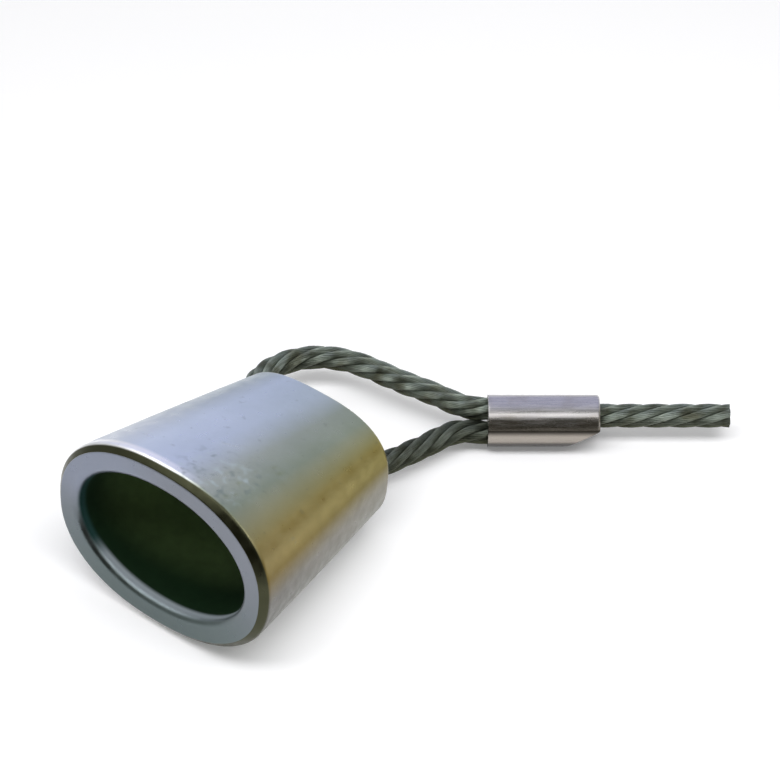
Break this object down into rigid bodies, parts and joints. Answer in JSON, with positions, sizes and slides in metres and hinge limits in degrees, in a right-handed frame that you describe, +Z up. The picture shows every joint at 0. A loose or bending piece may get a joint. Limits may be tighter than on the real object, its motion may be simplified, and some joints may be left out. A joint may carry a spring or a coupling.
{
  "type": "wire rope eye termination",
  "caption": "Wire rope eye closed by a pressed steel ferrule, its bight lying in the narrow mouth of a loose tapered oval sleeve.",
  "frame": {"origin": "middle of the object's box on the plane it rests on", "axes": "+X along the rope from the eye to its tail, +Z up, +Y away from the sleeve's wide mouth"},
  "size_m": [0.3578, 0.2325, 0.1011],
  "materials": {
    "rope_wire": "drawn steel wire, lightly greased, dark grey-green",
    "rope_core": "greased fibre core",
    "ferrule_steel": "pressed smooth, bright",
    "sleeve_steel": "satin bare steel with a blue and straw tint and small pits"
  },
  "bodies": {
    "rope_eye": {"rope_strand_1": "rope_wire", "rope_strand_2": "rope_wire", "rope_strand_3": "rope_wire", "rope_strand_4": "rope_wire", "rope_strand_5": "rope_wire", "rope_strand_6": "rope_wire", "rope_core": "rope_core", "ferrule": "ferrule_steel"},
    "sleeve": {"oval_sleeve": "sleeve_steel"}
  },
  "joints": [
    {"name": "sleeve_slide", "type": "slide", "parent": "rope_eye", "child": "sleeve", "axis": [-0.6239, -0.7815, 0], "range_m": [0, 0.15]}
  ]
}
